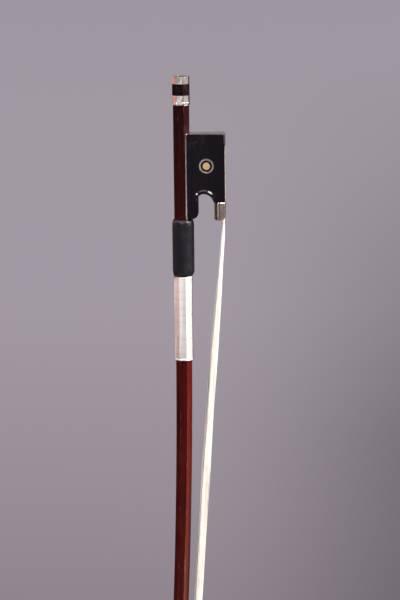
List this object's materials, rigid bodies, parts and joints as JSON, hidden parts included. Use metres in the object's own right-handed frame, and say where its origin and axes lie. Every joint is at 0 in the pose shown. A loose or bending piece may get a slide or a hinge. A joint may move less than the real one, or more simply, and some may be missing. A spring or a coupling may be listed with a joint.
{
  "type": "violin bow",
  "caption": "Violin bow: octagonal cambered stick with pointed head, sliding ebony frog with silver fittings, adjuster button, leather and wire grip, and slack hair ribbon.",
  "frame": {"origin": "on the axis of the handle, level with the front of the frog, where thumb and fingers hold the bow", "axes": "+Z along the handle towards the button, +X towards the hair side, +Y and -Y the two flat sides of the frog; the head is at the bottom"},
  "size_m": [0.0766, 0.0132, 0.7453],
  "materials": {
    "pernambuco": "dark red-brown varnished wood, gloss",
    "ebony": "black wood, polished",
    "silver": "polished silver",
    "silver_wire": "fine drawn silver wire, close wound",
    "steel": "turned steel",
    "brass": "turned brass",
    "pearl": "mother-of-pearl, polished",
    "leather": "thin black goatskin, worn smooth",
    "bone": "bone-white, polished",
    "maple": "bare pale wood",
    "horsehair": "white horsehair, rosined",
    "thread": "waxed binding thread"
  },
  "bodies": {
    "stick": {"stick": "pernambuco", "tip_plate": "bone", "tip_liner": "ebony", "head_plug": "maple", "hair_knot_head": "thread", "hair_ribbon": "horsehair", "leather_grip": "leather", "wire_winding": "silver_wire"},
    "adjuster": {"button_collar": "silver", "button_core": "ebony", "button_end_ring": "silver", "button_eye": "pearl", "collar_pin_1": "silver", "collar_pin_2": "silver", "ring_pin_1": "silver", "ring_pin_2": "silver", "adjusting_screw": "steel"},
    "frog": {"frog_body": "ebony", "underslide": "silver", "underslide_pin_1": "silver", "underslide_pin_2": "silver", "eyelet": "brass", "heel_plate_upper": "silver", "heel_plate_lower": "silver", "heel_pin_1": "silver", "heel_pin_2": "silver", "heel_pin_3": "silver", "heel_pin_4": "silver", "eye_ring_near": "silver", "eye_ring_far": "silver", "eye_pearl_near": "pearl", "eye_pearl_far": "pearl", "pearl_slide": "pearl", "slide_backing": "ebony", "ferrule": "silver", "spread_wedge": "maple", "frog_plug": "maple", "hair_knot_frog": "thread"}
  },
  "joints": [
    {"name": "button_turn", "type": "hinge", "parent": "stick", "child": "adjuster", "pos_m": [0, 0, 0.061], "axis": [0, 0, -1], "range_deg": [0, 4325]},
    {"name": "frog_slide", "type": "slide", "parent": "stick", "child": "frog", "axis": [0, 0, 1], "range_m": [0, 0.006], "deforming": ["hair_ribbon"]}
  ],
  "couplings": [
    {"joint": "button_turn", "follows": "frog_slide", "rad_per_m": 12566}
  ]
}
